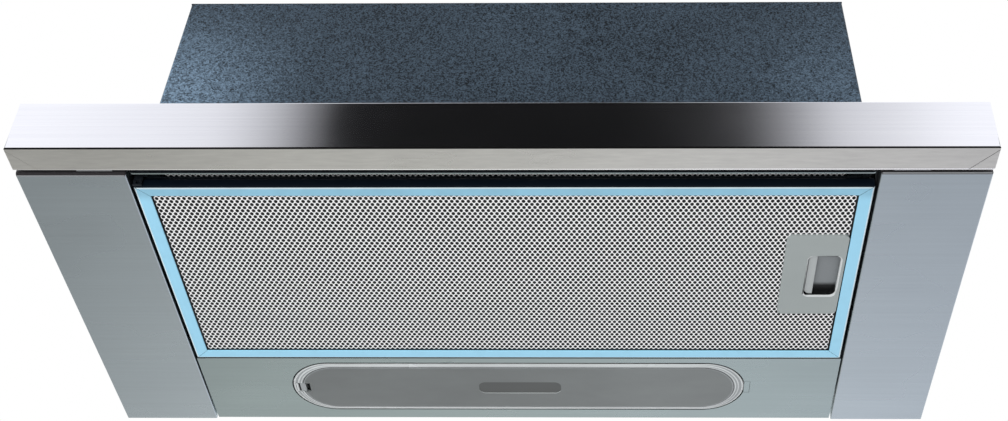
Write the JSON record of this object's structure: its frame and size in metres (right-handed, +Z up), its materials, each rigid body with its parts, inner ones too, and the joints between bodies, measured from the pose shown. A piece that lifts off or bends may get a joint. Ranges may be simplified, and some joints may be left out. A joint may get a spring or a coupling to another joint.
{
  "type": "telescopic cooker hood",
  "caption": "Slim built-in cooker hood with a pull-out drawer, folding grease filters, a lamp cover and a round duct outlet on top of its box.",
  "frame": {"origin": "middle of the closed hood's underside, below the middle of its outline", "axes": "+X to the hood's right as seen from the front, +Y to the back, +Z up"},
  "size_m": [0.598, 0.299, 0.206],
  "materials": {
    "steel_face": "fine brushed, near mirror",
    "grey_sheet": "satin grey coat",
    "zinc": "galvanised, dull with a fine spangle",
    "rail_zinc": "bright zinc",
    "roller_steel": "ground steel",
    "drawer_sheet": "satin grey coat",
    "filmed_frame": "bright, under a pale blue film",
    "plain_frame": "bright rolled",
    "mesh": "bright expanded",
    "mesh_stack": "expanded layers",
    "latch_grey": "moulded",
    "clear_cover": "clear moulding",
    "catch_grey": "clear grey moulding",
    "reflector": "bright pressed",
    "lamp_white": "opal",
    "holder_white": "moulded",
    "black_plastic": "moulded",
    "knob_grey": "moulded",
    "glide_white": "slippery moulding",
    "stop_rubber": "moulded",
    "fan_grey": "moulded",
    "motor_black": "satin",
    "capacitor_grey": "moulded"
  },
  "bodies": {
    "hood_body": {"housing_shell": "zinc", "housing_top": "zinc", "base_frame": "zinc", "bolt_keeper": "zinc", "lamp_panel": "grey_sheet", "lamp_box": "reflector", "lamp_holder_left": "holder_white", "lamp_holder_right": "holder_white", "lamp_bulb_left": "lamp_white", "lamp_bulb_right": "lamp_white", "outer_rail_left": "rail_zinc", "outer_rail_right": "rail_zinc", "scroll_left": "zinc", "scroll_right": "zinc", "motor_case": "motor_black", "capacitor": "capacitor_grey", "terminal_box": "black_plastic", "cable_gland": "black_plastic", "outlet_collar": "black_plastic", "flap_pin": "roller_steel", "drawer_stops": "stop_rubber", "drawer_switch": "black_plastic"},
    "drawer": {"front_panel": "steel_face", "panel_backing": "grey_sheet", "wing_left": "grey_sheet", "wing_right": "grey_sheet", "side_arm_left": "grey_sheet", "side_arm_right": "grey_sheet", "inner_rail_left": "rail_zinc", "inner_rail_right": "rail_zinc", "drawer_tray": "drawer_sheet", "tray_glides": "glide_white", "drawer_filter_frame": "plain_frame", "drawer_filter_mesh": "mesh", "drawer_filter_pad": "mesh_stack", "control_box": "black_plastic"},
    "slide_cages": {"roller_cages": "rail_zinc", "slide_rollers": "roller_steel"},
    "speed_switch": {"speed_knob": "knob_grey"},
    "light_switch": {"light_knob": "knob_grey"},
    "filter": {"filter_frame": "filmed_frame", "filter_mesh": "mesh", "filter_pad": "mesh_stack", "latch_plate": "latch_grey", "latch_spring": "roller_steel"},
    "filter_bolt": {"latch_slider": "latch_grey"},
    "lamp_cover": {"lamp_lens": "clear_cover"},
    "lamp_cover_catch": {"lens_catch": "catch_grey"},
    "rear_flap": {"flap_rear": "black_plastic"},
    "front_flap": {"flap_front": "black_plastic"},
    "fan_wheel": {"impeller": "fan_grey", "motor_shaft": "roller_steel"}
  },
  "joints": [
    {"name": "drawer_slide", "type": "slide", "parent": "hood_body", "child": "drawer", "axis": [0, -1, 0], "range_m": [0, 0.165]},
    {"name": "cage_slide", "type": "slide", "parent": "hood_body", "child": "slide_cages", "axis": [0, -1, 0], "range_m": [0, 0.0825]},
    {"name": "speed_slide", "type": "slide", "parent": "drawer", "child": "speed_switch", "axis": [1, 0, 0], "range_m": [0, 0.024]},
    {"name": "light_slide", "type": "slide", "parent": "drawer", "child": "light_switch", "axis": [1, 0, 0], "range_m": [0, 0.008]},
    {"name": "filter_hinge", "type": "hinge", "parent": "hood_body", "child": "filter", "pos_m": [-0.2265, 0, 0.0025], "axis": [0, 1, 0], "range_deg": [0, 60]},
    {"name": "bolt_slide", "type": "slide", "parent": "filter", "child": "filter_bolt", "axis": [-1, 0, 0], "range_m": [0, 0.005], "stiffness_N_per_m": 300, "springref_m": -0.003, "deforming": ["latch_spring"]},
    {"name": "cover_hinge", "type": "hinge", "parent": "hood_body", "child": "lamp_cover", "pos_m": [0.1655, 0.1075, 0.0035], "axis": [0, -1, 0], "range_deg": [0, 60]},
    {"name": "catch_slide", "type": "slide", "parent": "lamp_cover", "child": "lamp_cover_catch", "axis": [1, 0, 0], "range_m": [0, 0.003], "stiffness_N_per_m": 200, "springref_m": -0.002},
    {"name": "rear_flap_hinge", "type": "hinge", "parent": "hood_body", "child": "rear_flap", "pos_m": [0, 0.056, 0.186], "axis": [1, 0, 0], "range_deg": [0, 75]},
    {"name": "front_flap_hinge", "type": "hinge", "parent": "hood_body", "child": "front_flap", "pos_m": [0, 0.056, 0.186], "axis": [-1, 0, 0], "range_deg": [0, 75]},
    {"name": "fan_spin", "type": "hinge", "parent": "hood_body", "child": "fan_wheel", "pos_m": [0, 0.0155, 0.112], "axis": [1, 0, 0], "continuous": true}
  ],
  "couplings": [
    {"joint": "cage_slide", "follows": "drawer_slide", "ratio": 0.5}
  ]
}
